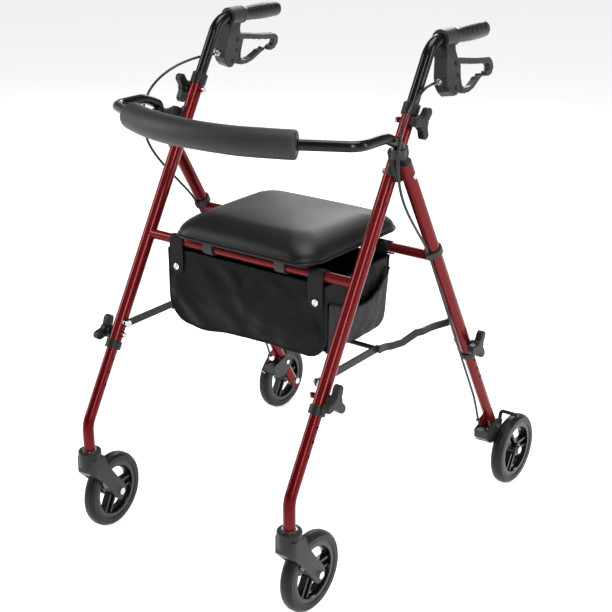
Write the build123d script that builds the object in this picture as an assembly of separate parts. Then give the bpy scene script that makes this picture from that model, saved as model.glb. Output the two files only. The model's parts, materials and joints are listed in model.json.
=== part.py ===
"""Four-wheeled folding rollator walker with a seat, a backrest and a bag.

Units are millimetres.  +Z is up, -Y is the front, +Y is where the user stands, and
+X is the right-hand side.  The origin is on the floor under the middle of the part.
"""
import os
from math import asin, atan2, cos, degrees, radians, sin, sqrt, tan

from build123d import *

# ---------------------------------------------------------------- driving sizes
LEG_RAKE = 30.0             # lean of the front and rear tubes from the vertical
PIVOT_Y = -77.0             # the main hinge, where front and rear tubes cross
PIVOT_Z = 757.0
FRONT_X = 245.0             # half distance between the front tubes
REAR_X = 280.0              # half distance between the rear tubes

FRAME_R = 12.7              # one-inch frame tubes
FRAME_BORE_R = 11.4
INNER_R = 11.1              # seven-eighths tubes that slide in the frame tubes
INNER_BORE_R = 9.5
CROSSBAR_R = 9.5
SLIDING_GAP = 0.3           # radial gap of a telescoping tube

HANDLE_SLEEVE_Z = 865.0     # top of the front tubes, with their sleeves
FRONT_SLEEVE_Z = 376.0      # bottom of the front tubes, with their sleeves
REAR_SLEEVE_Z = 338.0       # bottom of the rear tubes, with their sleeves
SLEEVE_R = 15.6
SLEEVE_LIP = 4.0            # how far a sleeve stands past its tube

HANDLE_CLAMP_Z = 838.0      # heights of the clamp screws
FRONT_CLAMP_Z = 403.0
REAR_CLAMP_Z = 370.0
CLAMP_SCREW_R = 3.0
RUNNING_GAP = 0.06          # radial gap of a pin in its bore

CROSSBAR_Z = 580.0
BRACE_FRONT_Z = 423.0       # pivots of the folding side brace
BRACE_REAR_Z = 418.5
KNEE_Y = -88.0
KNEE_Z = 424.0
BRACE_WIDTH = 14.0
BRACE_THICK = 4.0
BRACE_FRONT_X = 227.0       # inner faces of the two brace links
BRACE_REAR_X = 231.5
BRACE_END_X = 259.0         # inner face of the rear link at the rear tube
CROSS_ROD_R = 4.5

WHEEL_R = 76.2              # six-inch wheels
TYRE_WIDTH = 26.0
RIM_R = 57.0
REAR_WHEEL_X = 312.5
CASTER_BEND_Z = 243.0       # where each front leg turns straight down
CASTER_LEG_Z = 193.0        # foot of the front leg
CASTER_TRAIL = 57.4
LEFT_CASTER_TURN = 6.0      # the left caster stands a little turned

HANDLE_Z = 965.0            # axis of the grips
HANDLE_BEND_R = 50.0
GRIP_START_Y = 109.0
GRIP_END_Y = 229.0
GRIP_R = 15.0
SPLAY = 9.5                 # the brake levers lean outwards below the handles

BAR_R = 9.5                 # backrest bar
BAR_X = 276.0
BAR_Z = 833.5
SOCKET_Y = -104.0
PAD_R = 25.5
PAD_ARC_R = 400.0
PAD_HALF = 186.0
PAD_FRONT_Y = -313.0

SEAT_HALF = 164.0
SEAT_FRONT_Y = -210.0
SEAT_REAR_Y = 95.0
SEAT_BOTTOM_Z = 590.3
SEAT_BOARD = 7.0
SEAT_BOARD_HALF = 146.0     # it lies between the bag's straps
SEAT_EDGE_Z = 604.0
SEAT_TOP_Z = 641.0
SEAT_CORNER_R = 46.0
SEAT_CROWN_RUN = 68.0       # how far the outline draws in from the edge to the top
SEAT_REAR_RUN = 92.0        # the same at the rear edge

BAG_HALF = 187.0
BAG_FRONT_Y = -188.65
BAG_REAR_Y = 13.0
BAG_TOP_Z = 566.0
BAG_FLOOR_Z = 434.0         # it rests just over the brace's cross rod
BAG_PANEL_Z = 420.0         # foot of the front panel
BAG_WALL = 5.0
STRAP_X = 165.0
STRAP_WIDTH = 32.0
STRAP_THICK = 2.0
STRAP_FOOT_Z = 520.0

CABLE_R = 2.5

SIN = sin(radians(LEG_RAKE))
COS = cos(radians(LEG_RAKE))
TAN = tan(radians(LEG_RAKE))
SIDES = {"left": -1, "right": 1}


def front_y(z):
    """Y of a front tube's axis at height z."""
    return PIVOT_Y + (z - PIVOT_Z) * TAN


def rear_y(z):
    """Y of a rear tube's axis at height z."""
    return PIVOT_Y + (PIVOT_Z - z) * TAN


FRONT_BAR_Y = front_y(CROSSBAR_Z)
REAR_BAR_Y = rear_y(CROSSBAR_Z)
STEM_Y = front_y(CASTER_BEND_Z)
CASTER_Y = STEM_Y + CASTER_TRAIL
REAR_AXLE_Y = rear_y(WHEEL_R)

os.makedirs("parts", exist_ok=True)


# ---------------------------------------------------------------- small helpers
def save(name, *solids):
    """Write one node: its separate solids go into one STEP file."""
    pieces = [solid for shape in solids for solid in shape.solids()]
    body = pieces[0] if len(pieces) == 1 else Compound(children=pieces)
    body.label = name
    export_step(body, f"parts/{name}.step")


def rod(start, end, radius):
    """A round bar between two points."""
    start = Vector(start)
    end = Vector(end)
    plane = Plane(origin=start, z_dir=end - start)
    return extrude(plane * Circle(radius), amount=(end - start).length)


def bar_x(x0, x1, y, z, radius):
    """A round bar along X."""
    return rod((min(x0, x1), y, z), (max(x0, x1), y, z), radius)


def plate_x(x0, x1, outline):
    """A flat plate across X, from the (y, z) points of its outline."""
    low, high = min(x0, x1), max(x0, x1)
    plane = Plane(origin=(low, 0, 0), x_dir=(0, 1, 0), z_dir=(1, 0, 0))
    return extrude(plane * make_face(Polyline(*outline, close=True)), amount=high - low)


def front_tube_plane(side, z):
    """Origin on a front tube's axis at height z, local Z up the tube."""
    return Plane(origin=(side * FRONT_X, front_y(z), z), x_dir=(1, 0, 0), z_dir=(0, SIN, COS))


def rear_tube_plane(side, z):
    """Origin on a rear tube's axis at height z, local Z up the tube."""
    return Plane(origin=(side * REAR_X, rear_y(z), z), x_dir=(1, 0, 0), z_dir=(0, -SIN, COS))


def on_plane(plane, low, high, radius):
    """A round bar along the plane's local Z from low to high."""
    return extrude(plane.offset(low) * Circle(radius), amount=high - low)


def swept(path, radius):
    """A round bar along a path."""
    return sweep((path ^ 0) * Circle(radius), path=path)


def mirrored(solid):
    """The same piece on the other side."""
    return mirror(solid, about=Plane.YZ)


def both(solid):
    """The piece as made on the right, and its mirror on the left."""
    return [solid, mirrored(solid)]


def save_caster(name, solid_right):
    """As save_sides, with the left piece turned about its caster's stem."""
    pieces = solid_right if isinstance(solid_right, list) else [solid_right]
    save(f"{name}_right", *pieces)
    stem = Axis((-FRONT_X, STEM_Y, 0), (0, 0, 1))
    save(f"{name}_left", *[mirrored(piece).rotate(stem, LEFT_CASTER_TURN) for piece in pieces])


def save_sides(name, solid_right):
    """One node for each side, from the pieces of the right-hand one."""
    pieces = solid_right if isinstance(solid_right, list) else [solid_right]
    save(f"{name}_right", *pieces)
    save(f"{name}_left", *[mirrored(piece) for piece in pieces])


# ---------------------------------------------------------------- front frame
FRONT_TUBE_TOP = HANDLE_SLEEVE_Z - SLEEVE_LIP * COS
FRONT_TUBE_FOOT = FRONT_SLEEVE_Z + SLEEVE_LIP * COS
BOSS_R = 5.5
BOSS_LENGTH = 6.5
HINGE_BOLT_R = 4.0
STUD_R = 4.0


def clamp_boss(x, y, z):
    """A welded boss on the inner side of a tube, before the tube is cut from it."""
    return bar_x(x - FRAME_R - BOSS_LENGTH, x - FRAME_R / 2, y, z, BOSS_R)


def make_front_tube():
    plane = front_tube_plane(1, FRONT_TUBE_FOOT)
    length = (FRONT_TUBE_TOP - FRONT_TUBE_FOOT) / COS
    outer = on_plane(plane, 0, length, FRAME_R)
    for z in (HANDLE_CLAMP_Z, FRONT_CLAMP_Z):
        outer += clamp_boss(FRONT_X, front_y(z), z)
    tube = outer - on_plane(plane, -1, length + 1, FRAME_BORE_R)
    for z in (HANDLE_CLAMP_Z, FRONT_CLAMP_Z):
        screw_hole = CLAMP_SCREW_R + RUNNING_GAP
        tube -= bar_x(FRONT_X - 30, FRONT_X + 30, front_y(z), z, screw_hole)
    tube -= bar_x(FRONT_X - 30, FRONT_X + 30, PIVOT_Y, PIVOT_Z, HINGE_BOLT_R + 0.01)
    tube -= bar_x(FRONT_X - 30, FRONT_X, front_y(BRACE_FRONT_Z), BRACE_FRONT_Z, STUD_R + 0.01)
    return tube


save_sides("front_tube", make_front_tube())


def make_crossbar(tube_x, y, tube_plane):
    """A hollow crossbar, coped to fit the two tubes that it joins."""
    bar = bar_x(-tube_x, tube_x, y, CROSSBAR_Z, CROSSBAR_R)
    bar -= bar_x(-tube_x, tube_x, y, CROSSBAR_Z, CROSSBAR_R - 1.6)
    for side in SIDES.values():
        bar -= on_plane(tube_plane(side, CROSSBAR_Z), -30, 30, FRAME_R + 0.01)
    return bar.solids().sort_by(SortBy.VOLUME)[-1]


save("front_crossbar", make_crossbar(FRONT_X, FRONT_BAR_Y, front_tube_plane))


def make_sleeve(plane, length):
    """A moulded sleeve: it covers the tube's end and guides the sliding tube.

    The plane's origin is the sleeve's open end, and local Z points along the tube."""
    sleeve = on_plane(plane, 0, length, SLEEVE_R)
    sleeve = fillet(sleeve.edges().filter_by(GeomType.CIRCLE), 1.5)
    sleeve -= on_plane(plane, SLEEVE_LIP, length + 1, FRAME_R + 0.01)
    return sleeve - on_plane(plane, -1, length + 1, FRAME_BORE_R)


def make_handle_sleeve():
    plane = front_tube_plane(1, HANDLE_SLEEVE_Z)
    downwards = Plane(origin=plane.origin, x_dir=(1, 0, 0), z_dir=(0, -SIN, -COS))
    return make_sleeve(downwards, 22.0)


handle_sleeve = make_handle_sleeve()
front_leg_sleeve = make_sleeve(front_tube_plane(1, FRONT_SLEEVE_Z), 17.0)
save("frame_collars", *both(handle_sleeve), *both(front_leg_sleeve))

# Hinge brackets: a moulded plate between the two tubes, a saddle on the front tube and
# a socket on top for the backrest bar.
BRACKET_IN = FRONT_X + FRAME_R + 0.05
BRACKET_OUT = REAR_X - FRAME_R - 0.4
SOCKET_R = 13.0
SOCKET_LOW = 791.0
SOCKET_HIGH = 807.0
SADDLE_R = 15.5


def make_hinge_bracket():
    outline = [(-112, 801), (-106, 807), (-84, 807), (-72, 809), (-60, 803), (-56, 790), (-64, 760)]
    outline += [(-70, 745), (-84, 742), (-96, 757)]
    plate = plate_x(BRACKET_IN, BRACKET_OUT, outline)
    saddle = on_plane(front_tube_plane(1, 748), 0, 62, SADDLE_R)
    keep = Pos(FRONT_X + 25, 0, PIVOT_Z) * Box(50, 400, 400)
    bracket = plate + (saddle & keep)
    bracket += rod((BAR_X, SOCKET_Y, SOCKET_LOW), (BAR_X, SOCKET_Y, SOCKET_HIGH), SOCKET_R)
    bracket -= on_plane(front_tube_plane(1, 740), -10, 90, FRAME_R + 0.03)
    bracket -= rod((BAR_X, SOCKET_Y, 700), (BAR_X, SOCKET_Y, 850), BAR_R + RUNNING_GAP)
    bracket -= bar_x(FRONT_X, REAR_X, PIVOT_Y, PIVOT_Z, HINGE_BOLT_R + 0.01)
    return bracket


save("hinge_brackets", *both(make_hinge_bracket()))


def make_hinge_bolt():
    """The bolt that both tubes and the bracket share, with a nut inside, a head outside."""
    head_x = REAR_X + FRAME_R + 0.4
    bolt = bar_x(FRONT_X - 17, head_x + 1.4, PIVOT_Y, PIVOT_Z, HINGE_BOLT_R)
    bolt += bar_x(head_x, head_x + 1.4, PIVOT_Y, PIVOT_Z, 5.5)
    nut_plane = Plane(origin=(FRONT_X - 16, PIVOT_Y, PIVOT_Z), x_dir=(0, 1, 0), z_dir=(1, 0, 0))
    return bolt + extrude(nut_plane * RegularPolygon(6.0, 6), amount=3.2)


def make_clamp_screw_end(x, y, z):
    """The screw's end and nut on the inner side, held in the welded boss."""
    face = x - FRAME_R - BOSS_LENGTH
    screw = bar_x(face - 4, x - FRAME_BORE_R - 0.2, y, z, CLAMP_SCREW_R)
    return screw + bar_x(face - 3.5, face, y, z, 5)


def make_brace_stud_front():
    """A shouldered stud fixed in the front tube, on which the front link turns."""
    y = front_y(BRACE_FRONT_Z)
    link_out = BRACE_FRONT_X + BRACE_THICK
    stud = bar_x(BRACE_FRONT_X - 4, FRONT_X - FRAME_BORE_R - 0.2, y, BRACE_FRONT_Z, STUD_R)
    stud += bar_x(BRACE_FRONT_X - 4, BRACE_FRONT_X - 0.3, y, BRACE_FRONT_Z, 7.0)
    shoulder = bar_x(link_out + 0.3, FRONT_X - FRAME_R + 2, y, BRACE_FRONT_Z, 7.0)
    shoulder -= on_plane(front_tube_plane(1, BRACE_FRONT_Z), -30, 30, FRAME_R + 0.01)
    return stud + shoulder


frame_bolts = both(make_hinge_bolt())
for clamp_z in (HANDLE_CLAMP_Z, FRONT_CLAMP_Z):
    frame_bolts += both(make_clamp_screw_end(FRONT_X, front_y(clamp_z), clamp_z))
frame_bolts += both(make_brace_stud_front())
save("frame_bolts", *frame_bolts)

# ---------------------------------------------------------------- rear frame
REAR_TUBE_FOOT = REAR_SLEEVE_Z + SLEEVE_LIP * COS
REAR_TUBE_PAST_PIVOT = 27.0
CLIP_Z = 596.0
CLIP_R = 16.5
CABLE_OFFSET = FRAME_R + CABLE_R + 1.0      # cable axis in front of the rear tube's axis


def make_rear_tube():
    plane = rear_tube_plane(1, REAR_TUBE_FOOT)
    length = (PIVOT_Z - REAR_TUBE_FOOT) / COS + REAR_TUBE_PAST_PIVOT
    outer = on_plane(plane, 0, length, FRAME_R) + clamp_boss(REAR_X, rear_y(REAR_CLAMP_Z), REAR_CLAMP_Z)
    tube = outer - on_plane(plane, -1, length + 1, FRAME_BORE_R)
    y = rear_y(REAR_CLAMP_Z)
    tube -= bar_x(REAR_X - 30, REAR_X + 30, y, REAR_CLAMP_Z, CLAMP_SCREW_R + RUNNING_GAP)
    tube -= bar_x(REAR_X - 30, REAR_X + 30, PIVOT_Y, PIVOT_Z, HINGE_BOLT_R + RUNNING_GAP)
    tube -= bar_x(REAR_X - 30, REAR_X, rear_y(BRACE_REAR_Z), BRACE_REAR_Z, STUD_R + 0.01)
    return tube


save_sides("rear_tube", make_rear_tube())
save("rear_crossbar", make_crossbar(REAR_X, REAR_BAR_Y, rear_tube_plane))


def make_rear_cap():
    """A plug that closes the rear tube's top end."""
    plane = rear_tube_plane(1, PIVOT_Z)
    cap = on_plane(plane, REAR_TUBE_PAST_PIVOT + 0.01, REAR_TUBE_PAST_PIVOT + 3, FRAME_R)
    return cap + on_plane(plane, REAR_TUBE_PAST_PIVOT - 9, REAR_TUBE_PAST_PIVOT + 3, FRAME_BORE_R - 0.02)


def make_cable_clip():
    """A ring round the rear tube with an eye in front for the brake cable."""
    plane = rear_tube_plane(1, CLIP_Z)
    ring = on_plane(plane, -6, 6, CLIP_R)
    eye_plane = plane * Pos(0, -CABLE_OFFSET, 0)
    eye_plane = Plane(eye_plane)
    ring += on_plane(eye_plane, -6, 6, CABLE_R + 3)
    ring -= on_plane(plane, -7, 7, FRAME_R + 0.01)
    return ring - on_plane(eye_plane, -7, 7, CABLE_R + 0.2)


rear_leg_sleeve = make_sleeve(rear_tube_plane(1, REAR_SLEEVE_Z), 15.0)
save("rear_collars", *both(rear_leg_sleeve), *both(make_rear_cap()), *both(make_cable_clip()))


def make_brace_stud_rear():
    """A shouldered stud fixed in the rear tube, on which the rear link turns."""
    y = rear_y(BRACE_REAR_Z)
    link_out = BRACE_END_X + BRACE_THICK
    stud = bar_x(BRACE_END_X - 3.5, REAR_X - FRAME_BORE_R - 0.2, y, BRACE_REAR_Z, STUD_R)
    stud += bar_x(BRACE_END_X - 3.5, BRACE_END_X - 0.3, y, BRACE_REAR_Z, 7.0)
    shoulder = bar_x(link_out + 0.3, REAR_X - FRAME_R + 2, y, BRACE_REAR_Z, 7.0)
    shoulder -= on_plane(rear_tube_plane(1, BRACE_REAR_Z), -30, 30, FRAME_R + 0.01)
    return stud + shoulder


rear_screw = make_clamp_screw_end(REAR_X, rear_y(REAR_CLAMP_Z), REAR_CLAMP_Z)
save("rear_bolts", *both(rear_screw), *both(make_brace_stud_rear()))

# ---------------------------------------------------------------- folding side brace
# The knee is the brace's open pivot: the cross rod's end is fixed in the front link, and
# the rear link carries the outer half of the rivet.
KNEE_RIVET_R = 4.0


def link_outline(points):
    """A flat link's face in (y, z): a band with round ends along the points."""
    band = None
    for (y0, z0), (y1, z1) in zip(points, points[1:]):
        piece = SlotCenterToCenter(sqrt((y1 - y0) ** 2 + (z1 - z0) ** 2), BRACE_WIDTH)
        angle = degrees(atan2(z1 - z0, y1 - y0))
        placed = Pos((y0 + y1) / 2, (z0 + z1) / 2) * Rot(0, 0, angle) * piece
        band = placed if band is None else band + placed
    return band


def make_link(points, strip, holes):
    """A flat steel link: its side face along points, its bends across x along strip."""
    plane = Plane(origin=(BRACE_FRONT_X - 10, 0, 0), x_dir=(0, 1, 0), z_dir=(1, 0, 0))
    face = extrude(plane * link_outline(points), amount=60)
    outer = [(x + BRACE_THICK, y) for x, y in reversed(strip)]
    band = extrude(Pos(0, 0, 350) * make_face(Polyline(*strip, *outer, close=True)), amount=200)
    link = face & band
    for (y, z), radius in holes:
        link -= bar_x(BRACE_FRONT_X - 10, REAR_X, y, z, radius)
    return link


front_pivot = (front_y(BRACE_FRONT_Z), BRACE_FRONT_Z)
rear_pivot = (rear_y(BRACE_REAR_Z), BRACE_REAR_Z)
knee = (KNEE_Y, KNEE_Z)
front_link = make_link(
    [front_pivot, knee],
    [(BRACE_FRONT_X, -400), (BRACE_FRONT_X, 0)],
    [(front_pivot, STUD_R + RUNNING_GAP), (knee, KNEE_RIVET_R + 0.01)],
)
# The rear link is cranked outwards to the rear tube's inner side, and rises behind the crank.
rear_link = make_link(
    [knee, (-52, 419), (-27, 420), (4, 432), (52, 429), rear_pivot],
    [(BRACE_REAR_X, -130), (BRACE_REAR_X, -62), (BRACE_END_X, 16), (BRACE_END_X, 160)],
    [(rear_pivot, STUD_R + RUNNING_GAP), (knee, KNEE_RIVET_R + 0.01)],
)


def make_knee_rivet():
    """The outer half of the knee's rivet, fixed in the rear link."""
    back = BRACE_REAR_X + BRACE_THICK
    rivet = bar_x(BRACE_REAR_X, back + 2.5, KNEE_Y, KNEE_Z, KNEE_RIVET_R)
    return rivet + bar_x(back + 0.01, back + 2.5, KNEE_Y, KNEE_Z, 7.0)


def make_cross_rod():
    """The rod that ties the two knees together: its ends are pins in the front links."""
    rod_end = BRACE_FRONT_X - 0.01
    pin_end = BRACE_FRONT_X + BRACE_THICK
    cross_rod = bar_x(-rod_end, rod_end, KNEE_Y, KNEE_Z, CROSS_ROD_R)
    return cross_rod + bar_x(-pin_end, pin_end, KNEE_Y, KNEE_Z, KNEE_RIVET_R)


save("brace_front_links", *both(front_link))
save("brace_cross_rod", make_cross_rod())
save("brace_rear_links", *both(rear_link), *both(make_knee_rivet()))

# ---------------------------------------------------------------- seat
CLIP_HALF_X = 85.0
CLIP_WIDTH = 22.0


def make_seat_board():
    depth = SEAT_REAR_Y - 12 - (FRONT_BAR_Y - 14)
    middle = (SEAT_REAR_Y - 12 + FRONT_BAR_Y - 14) / 2
    face = Pos(0, middle) * RectangleRounded(2 * SEAT_BOARD_HALF, depth, 18)
    return extrude(Pos(0, 0, SEAT_BOTTOM_Z) * face, amount=SEAT_BOARD)


def seat_outline(height, inset, rear_inset, corner):
    """The pad's outline at a height, drawn in from its edges."""
    depth = SEAT_REAR_Y - rear_inset - (SEAT_FRONT_Y + inset)
    middle = (SEAT_REAR_Y - rear_inset + SEAT_FRONT_Y + inset) / 2
    return Pos(0, middle, height) * RectangleRounded(2 * (SEAT_HALF - inset), depth, corner)


def make_seat_pad():
    """A crowned pad: above its edge the outline draws in along a quarter ellipse."""
    sections = [seat_outline(SEAT_BOTTOM_Z + SEAT_BOARD, 4, 4, SEAT_CORNER_R - 4)]
    for step in range(7):
        angle = radians(14 * step)
        drawn_in = 1 - cos(angle)
        height = SEAT_EDGE_Z + (SEAT_TOP_Z - SEAT_EDGE_Z) * sin(angle) / sin(radians(84))
        inset = SEAT_CROWN_RUN * drawn_in
        corner = SEAT_CORNER_R - inset / 3
        sections.append(seat_outline(height, inset, SEAT_REAR_RUN * drawn_in, corner))
    return loft(sections)


def make_seat_clip(x):
    """A ring that turns on the front crossbar, with a foot under the board."""
    ring = bar_x(x - CLIP_WIDTH / 2, x + CLIP_WIDTH / 2, FRONT_BAR_Y, CROSSBAR_Z, CROSSBAR_R + 4)
    foot_height = SEAT_BOTTOM_Z - CROSSBAR_Z - 0.02
    ring += Pos(x, FRONT_BAR_Y, CROSSBAR_Z + foot_height / 2) * Box(CLIP_WIDTH, 27, foot_height)
    ring -= bar_x(x - 30, x + 30, FRONT_BAR_Y, CROSSBAR_Z, CROSSBAR_R + RUNNING_GAP)
    under = Pos(x, FRONT_BAR_Y, SEAT_BOTTOM_Z + 10) * Box(60, 60, 20.02)
    return ring - under


save("seat_board", make_seat_board())
save("seat_pad", make_seat_pad())
save("seat_clips", *both(make_seat_clip(CLIP_HALF_X)))

# ---------------------------------------------------------------- backrest
PAD_END_Y = PAD_FRONT_Y + PAD_ARC_R - sqrt(PAD_ARC_R ** 2 - PAD_HALF ** 2)
PAD_END_ANGLE = asin(PAD_HALF / PAD_ARC_R)
BAR_CORNER_Y = PAD_END_Y + (BAR_X - PAD_HALF) * tan(PAD_END_ANGLE)


def backrest_arm():
    """The bar's path from its foot in the socket to the end of the pad."""
    foot = (BAR_X, SOCKET_Y, SOCKET_LOW + 1)
    points = [foot, (BAR_X, SOCKET_Y, BAR_Z - 17.5), (BAR_X, SOCKET_Y - 40, BAR_Z)]
    points += [(BAR_X, BAR_CORNER_Y, BAR_Z), (PAD_HALF, PAD_END_Y, BAR_Z)]
    return FilletPolyline(*points, radius=[12, 60, 32])


def pad_arc():
    middle = (0, PAD_FRONT_Y, BAR_Z)
    return ThreePointArc((PAD_HALF, PAD_END_Y, BAR_Z), middle, (-PAD_HALF, PAD_END_Y, BAR_Z))


def make_backrest_bar():
    arm = backrest_arm()
    edges = [*arm.edges(), *pad_arc().edges(), *mirrored(arm).edges()]
    path = Wire(edges)
    start = Plane(origin=(BAR_X, SOCKET_Y, SOCKET_LOW + 1), z_dir=(0, 0, 1))
    return sweep(start * Circle(BAR_R), path=path)


def make_backrest_pad():
    arc = pad_arc()
    pad = sweep((arc ^ 0) * Circle(PAD_R), path=arc)
    pad = fillet(pad.edges().filter_by(GeomType.CIRCLE), 9)
    longer = ThreePointArc(
        (PAD_HALF + 1, PAD_END_Y + tan(PAD_END_ANGLE), BAR_Z),
        (0, PAD_FRONT_Y, BAR_Z),
        (-PAD_HALF - 1, PAD_END_Y + tan(PAD_END_ANGLE), BAR_Z),
    )
    return pad - sweep((longer ^ 0) * Circle(BAR_R + 0.05), path=longer)


save("backrest_bar", make_backrest_bar())
save("backrest_pad", make_backrest_pad())

# ---------------------------------------------------------------- bag


def make_bag():
    """A soft bag, open at the top, whose floor rests over the cross rod of the brace."""
    outline = [
        (BAG_FRONT_Y, BAG_TOP_Z), (BAG_FRONT_Y, BAG_FLOOR_Z + 6), (BAG_FRONT_Y + 6, BAG_FLOOR_Z),
        (BAG_REAR_Y - 26, BAG_FLOOR_Z), (BAG_REAR_Y - 10, BAG_FLOOR_Z + 14), (BAG_REAR_Y, BAG_TOP_Z),
    ]
    body = plate_x(-BAG_HALF, BAG_HALF, outline)
    upright = body.edges().filter_by(Axis.Z).sort_by(Axis.Y)[:2]
    body = fillet(upright, 12)
    panel_high = BAG_FLOOR_Z + 20
    panel = Pos(0, BAG_FRONT_Y + BAG_WALL / 2, (BAG_PANEL_Z + panel_high) / 2)
    body += panel * Box(2 * BAG_HALF - 24, BAG_WALL, panel_high - BAG_PANEL_Z)
    hollow = [
        (BAG_FRONT_Y + BAG_WALL, BAG_TOP_Z + 5), (BAG_FRONT_Y + BAG_WALL, BAG_FLOOR_Z + BAG_WALL),
        (BAG_REAR_Y - 30, BAG_FLOOR_Z + BAG_WALL), (BAG_REAR_Y - BAG_WALL - 10, BAG_FLOOR_Z + 22),
        (BAG_REAR_Y - BAG_WALL, BAG_TOP_Z + 5),
    ]
    inside = plate_x(-BAG_HALF + BAG_WALL, BAG_HALF - BAG_WALL, hollow)
    return body - inside


def make_strap(bar_y, away, inner_r):
    """A webbing loop over a crossbar, and its tail down the bag's panel."""
    low = STRAP_X - STRAP_WIDTH / 2
    high = STRAP_X + STRAP_WIDTH / 2
    outer_r = inner_r + STRAP_THICK
    strap = bar_x(low, high, bar_y, CROSSBAR_Z, outer_r)
    tail_y = bar_y + away * (outer_r - STRAP_THICK / 2)
    tail = Pos(STRAP_X, tail_y, (CROSSBAR_Z + STRAP_FOOT_Z) / 2)
    strap += tail * Box(STRAP_WIDTH, STRAP_THICK, CROSSBAR_Z - STRAP_FOOT_Z)
    return strap - bar_x(low - 1, high + 1, bar_y, CROSSBAR_Z, inner_r)


def make_snap():
    """A press stud on the front strap's tail."""
    y = FRONT_BAR_Y - CROSSBAR_R - STRAP_THICK - 0.03
    return rod((STRAP_X, y, STRAP_FOOT_Z + 11), (STRAP_X, y - 3, STRAP_FOOT_Z + 11), 6.5)


front_strap = make_strap(FRONT_BAR_Y, -1, CROSSBAR_R + 0.02)
rear_strap = make_strap(REAR_BAR_Y, -1, CROSSBAR_R + 0.5)
save("basket_bag", make_bag())
save("bag_straps", *both(front_strap), *both(rear_strap))
save("bag_snaps", *both(make_snap()))

# ---------------------------------------------------------------- handles
HANDLE_FOOT_Z = 779.0
CORNER_Y = front_y(HANDLE_Z)
RING_R = 17.5
RING_START_Y = 72.0
HOUSING_HALF = 14.0
LEVER_PIVOT = (94.5, 919.0)     # (y, z) before the housing is leant outwards
LEVER_ROOT_HALF = 5.5
LEVER_HALF = 6.5
LEVER_BORE_R = 3.06
HOLE_PITCH = 25.4
GRIP_END_R = 13.0


def make_handle_tube():
    foot = (FRONT_X, front_y(HANDLE_FOOT_Z), HANDLE_FOOT_Z)
    corner = (FRONT_X, CORNER_Y, HANDLE_Z)
    path = FilletPolyline(foot, corner, (FRONT_X, GRIP_END_Y - 3, HANDLE_Z), radius=HANDLE_BEND_R)
    section = Plane(origin=foot, x_dir=(1, 0, 0), z_dir=(0, SIN, COS))
    tube = sweep(section * (Circle(INNER_R) - Circle(INNER_BORE_R)), path=path)
    for step in range(3):
        z = HANDLE_CLAMP_Z - step * HOLE_PITCH * COS
        tube -= bar_x(FRONT_X - 20, FRONT_X + 20, front_y(z), z, CLAMP_SCREW_R + 0.3)
    return tube


def make_grip():
    """A moulded grip that tapers to a domed end, with a flared collar at the front."""
    profile = Polyline(
        (0, 0), (17, 0), (17, 4), (GRIP_R, 8), (GRIP_R - 0.6, 60),
        (GRIP_END_R, GRIP_END_Y - GRIP_START_Y), (0, GRIP_END_Y - GRIP_START_Y), close=True,
    )
    turned = revolve(make_face(profile), Axis.Y)
    end = turned.faces().sort_by(Axis.Y)[-1]
    grip = Pos(FRONT_X, GRIP_START_Y, HANDLE_Z) * fillet(end.edges(), 5)
    return grip - rod((FRONT_X, 100, HANDLE_Z), (FRONT_X, GRIP_END_Y - 3, HANDLE_Z), INNER_R + 0.01)


def lean_out(shape):
    """Turn a right-hand piece about the handle's axis, so that its foot moves outwards."""
    return shape.rotate(Axis((FRONT_X, 0, HANDLE_Z), (0, 1, 0)), -SPLAY)


def handle_tube_space():
    """The space of the handle tube, a hair larger than the tube."""
    foot = (FRONT_X, front_y(900), 900)
    corner = (FRONT_X, CORNER_Y, HANDLE_Z)
    path = FilletPolyline(foot, corner, (FRONT_X, 160, HANDLE_Z), radius=HANDLE_BEND_R)
    section = Plane(origin=foot, x_dir=(1, 0, 0), z_dir=(0, SIN, COS))
    return sweep(section * Circle(INNER_R + 0.02), path=path)


def make_brake_housing():
    """The lever's housing: a clamp ring on the handle tube and two cheeks below it."""
    outline = [(72, 957), (67, 945), (66, 932), (60, 912), (57, 900), (57, 885), (64, 873)]
    outline += [(75, 864), (86, 864), (92, 870), (99, 878), (104, 895), (109.5, 912)]
    outline += [(109, 921), (102, 930), (98, 941), (99, 957)]
    body = plate_x(FRONT_X - HOUSING_HALF, FRONT_X + HOUSING_HALF, outline)
    edges = body.edges().filter_by(Axis.X, reverse=True)
    body = chamfer(edges, 1.2)
    body += rod((FRONT_X, RING_START_Y, HANDLE_Z), (FRONT_X, GRIP_START_Y - 2, HANDLE_Z), RING_R)
    slot = [(72, 932), (66, 905), (66, 885), (74, 873), (150, 840), (150, 946), (112, 934)]
    half = LEVER_ROOT_HALF + 0.5
    body -= plate_x(FRONT_X - half, FRONT_X + half, slot)
    y, z = LEVER_PIVOT
    body -= bar_x(FRONT_X - 20, FRONT_X + 20, y, z, 3.01)
    return lean_out(body) - handle_tube_space()


ADJUSTER_TIP_Y = 38.8
ADJUSTER_Z = 893.3
COVER_SCREWS = [(96.5, 897.0), (86.5, 876.5)]


def make_lever_fittings():
    """The lever's pin, cover screws on both sides and the cable's adjuster barrel."""
    y, z = LEVER_PIVOT
    outer = FRONT_X + HOUSING_HALF
    inner = FRONT_X - HOUSING_HALF
    pin = bar_x(inner - 1.6, outer + 1.6, y, z, 3.0)
    pin += bar_x(outer + 0.01, outer + 1.6, y, z, 4.6)
    pin += bar_x(inner - 1.6, inner - 0.01, y, z, 4.6)
    screws = []
    for screw_y, screw_z in COVER_SCREWS:
        screws.append(bar_x(outer + 0.01, outer + 1.2, screw_y, screw_z, 4.2))
        screws.append(bar_x(inner - 1.2, inner - 0.01, screw_y, screw_z, 4.2))
    face = (FRONT_X, 56.99, ADJUSTER_Z)
    barrel = rod(face, (FRONT_X, ADJUSTER_TIP_Y, ADJUSTER_Z), 3.6)
    barrel += rod(face, (FRONT_X, 51, ADJUSTER_Z), 5.6)
    return [lean_out(piece) for piece in [pin, *screws, barrel]]


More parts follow.
